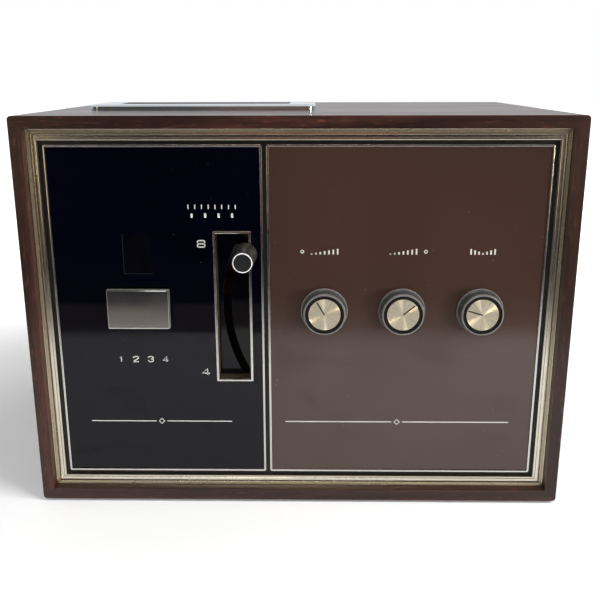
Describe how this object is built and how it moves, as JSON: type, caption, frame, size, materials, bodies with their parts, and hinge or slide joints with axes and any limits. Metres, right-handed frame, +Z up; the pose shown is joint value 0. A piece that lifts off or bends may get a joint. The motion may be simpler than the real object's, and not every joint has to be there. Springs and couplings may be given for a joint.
{
  "type": "8-track player",
  "caption": "table-top stereo cartridge tape player in a walnut box, top slot with sprung door, two-tone front with rotary knobs, track lever and channel button",
  "frame": {"origin": "middle of the bounding box's base, where the pads stand", "axes": "+Z up, the control panel faces -Y, +X to the right as seen from the front"},
  "size_m": [0.305, 0.2354, 0.2284],
  "materials": {
    "walnut": "open-pore walnut veneer, dark red-brown, satin",
    "glue_block": "plain softwood",
    "hardboard": "hardboard, brown, smooth outside",
    "gold_trim": "pale gold anodised moulding, worn highlights",
    "black_panel": "gloss black enamel",
    "brown_panel": "satin brown enamel",
    "black_steel": "black enamel on steel",
    "black_plastic": "black moulding",
    "matte_black": "black moulding, matt",
    "chrome": "bright plating",
    "spun_aluminium": "spun disc, pale champagne",
    "smoked_lens": "dark smoked lens",
    "lamp_glass": "clear bulb",
    "zinc": "zinc-plated steel",
    "spring_steel": "spring steel",
    "rubber": "black rubber",
    "felt": "dark felt",
    "flywheel_steel": "turned steel",
    "copper_coil": "taped winding",
    "circuit_board": "phenolic board",
    "components": "capacitors, transistors and heat sinks",
    "brass_parts": "turned brass"
  },
  "bodies": {
    "player": {"top_board": "walnut", "bottom_board": "walnut", "left_board": "walnut", "right_board": "walnut", "corner_blocks": "glue_block", "back_panel": "hardboard", "screws": "zinc", "feet": "felt", "trim_rails": "gold_trim", "trim_stiles": "gold_trim", "front_plate": "black_steel", "left_panel": "black_panel", "right_panel": "brown_panel", "selector_frame": "chrome", "selector_box": "matte_black", "selector_bracket": "zinc", "button_guide": "matte_black", "button_spring": "spring_steel", "channel_switch": "matte_black", "indicator_lens": "smoked_lens", "lamp_block": "matte_black", "indicator_lamps": "lamp_glass", "potentiometers": "zinc", "slot_bezel": "chrome", "cartridge_well": "zinc", "deck_plate": "zinc", "motor": "zinc", "drive_belt": "rubber", "solenoid": "zinc", "chassis": "zinc", "transformer_core": "zinc", "transformer_coil": "copper_coil", "amplifier_board": "circuit_board", "board_components": "components", "speaker_jacks": "brass_parts", "cord_gland": "matte_black"},
    "selector": {"selector_lever": "zinc", "selector_knob": "black_plastic", "selector_ring": "chrome"},
    "drawbar_body": {"drawbar": "zinc"},
    "roller_arm_body": {"roller_arm": "zinc"},
    "roller_body": {"pinch_roller": "rubber"},
    "button_body": {"channel_button": "chrome"},
    "door_body": {"cartridge_door": "matte_black"},
    "hold_body": {"hold_lever": "zinc"},
    "capstan_body": {"flywheel": "flywheel_steel"},
    "motor_body": {"motor_pulley": "brass_parts"},
    "head_body": {"head_carriage": "brass_parts", "playback_head": "chrome"},
    "cam_body": {"track_cam": "brass_parts"},
    "plunger_body": {"solenoid_plunger": "zinc"},
    "volume_left_body": {"volume_left_shaft": "brass_parts", "volume_left_knob": "matte_black", "volume_left_inlay": "spun_aluminium"},
    "volume_right_body": {"volume_right_shaft": "brass_parts", "volume_right_knob": "matte_black", "volume_right_inlay": "spun_aluminium"},
    "tone_body": {"tone_shaft": "brass_parts", "tone_knob": "matte_black", "tone_inlay": "spun_aluminium"}
  },
  "joints": [
    {"name": "volume_left_turn", "type": "hinge", "parent": "player", "child": "volume_left_body", "pos_m": [0.0148, -0.10025, 0.1172], "axis": [0, 1, 0], "range_deg": [-119, 181]},
    {"name": "volume_right_turn", "type": "hinge", "parent": "player", "child": "volume_right_body", "pos_m": [0.0584, -0.10025, 0.1172], "axis": [0, 1, 0], "range_deg": [-200, 100]},
    {"name": "tone_turn", "type": "hinge", "parent": "player", "child": "tone_body", "pos_m": [0.1023, -0.10025, 0.1172], "axis": [0, 1, 0], "range_deg": [-77, 223]},
    {"name": "track_selector", "type": "hinge", "parent": "player", "child": "selector", "pos_m": [0.0437, -0.10025, 0.1186], "axis": [0, -1, 0], "range_deg": [0, 47]},
    {"name": "drawbar_slide", "type": "slide", "parent": "player", "child": "drawbar_body", "axis": [0, 0, -1], "range_m": [0, 0.0099]},
    {"name": "roller_arm_swing", "type": "hinge", "parent": "player", "child": "roller_arm_body", "pos_m": [-0.025, -0.02575, 0.136], "axis": [-1, 0, 0], "range_deg": [0, 90]},
    {"name": "pinch_roller_spin", "type": "hinge", "parent": "roller_arm_body", "child": "roller_body", "pos_m": [-0.025, -0.02575, 0.1595], "axis": [0, 0, 1], "continuous": true},
    {"name": "channel_button_press", "type": "slide", "parent": "player", "child": "button_body", "axis": [0, 1, 0], "range_m": [0, 0.003], "stiffness_N_per_m": 500, "springref_m": -0.002, "deforming": ["button_spring"]},
    {"name": "door_swing", "type": "hinge", "parent": "player", "child": "door_body", "pos_m": [-0.0592, 0.00855, 0.2267], "axis": [1, 0, 0], "range_deg": [0, 88], "stiffness_Nm_per_rad": 0.008, "springref_deg": -57.3},
    {"name": "hold_lever_swing", "type": "hinge", "parent": "player", "child": "hold_body", "pos_m": [-0.12015, -0.00225, 0.1836], "axis": [0, 1, 0], "range_deg": [0, 5], "stiffness_Nm_per_rad": 0.05, "springref_deg": -11.46},
    {"name": "capstan_spin", "type": "hinge", "parent": "player", "child": "capstan_body", "pos_m": [-0.025, 0.01775, 0.1256], "axis": [0, 1, 0], "continuous": true},
    {"name": "motor_spin", "type": "hinge", "parent": "player", "child": "motor_body", "pos_m": [-0.102, 0.01775, 0.0596], "axis": [0, 1, 0], "continuous": true},
    {"name": "cam_turn", "type": "hinge", "parent": "player", "child": "cam_body", "pos_m": [-0.066, 0.00055, 0.0926], "axis": [-1, 0, 0], "range_deg": [0, 270]},
    {"name": "head_shift", "type": "slide", "parent": "player", "child": "head_body", "axis": [0, -1, 0], "range_m": [0, 0.0024]},
    {"name": "plunger_slide", "type": "slide", "parent": "player", "child": "plunger_body", "axis": [0, 0, 1], "range_m": [0, 0.004], "stiffness_N_per_m": 100, "springref_m": -0.003}
  ],
  "couplings": [
    {"joint": "drawbar_slide", "follows": "track_selector", "m_per_rad": 0.012067},
    {"joint": "roller_arm_swing", "follows": "track_selector", "ratio": 1.9147},
    {"joint": "motor_spin", "follows": "capstan_spin", "ratio": 8.4},
    {"joint": "cam_turn", "follows": "head_shift", "rad_per_m": 1963.4}
  ]
}
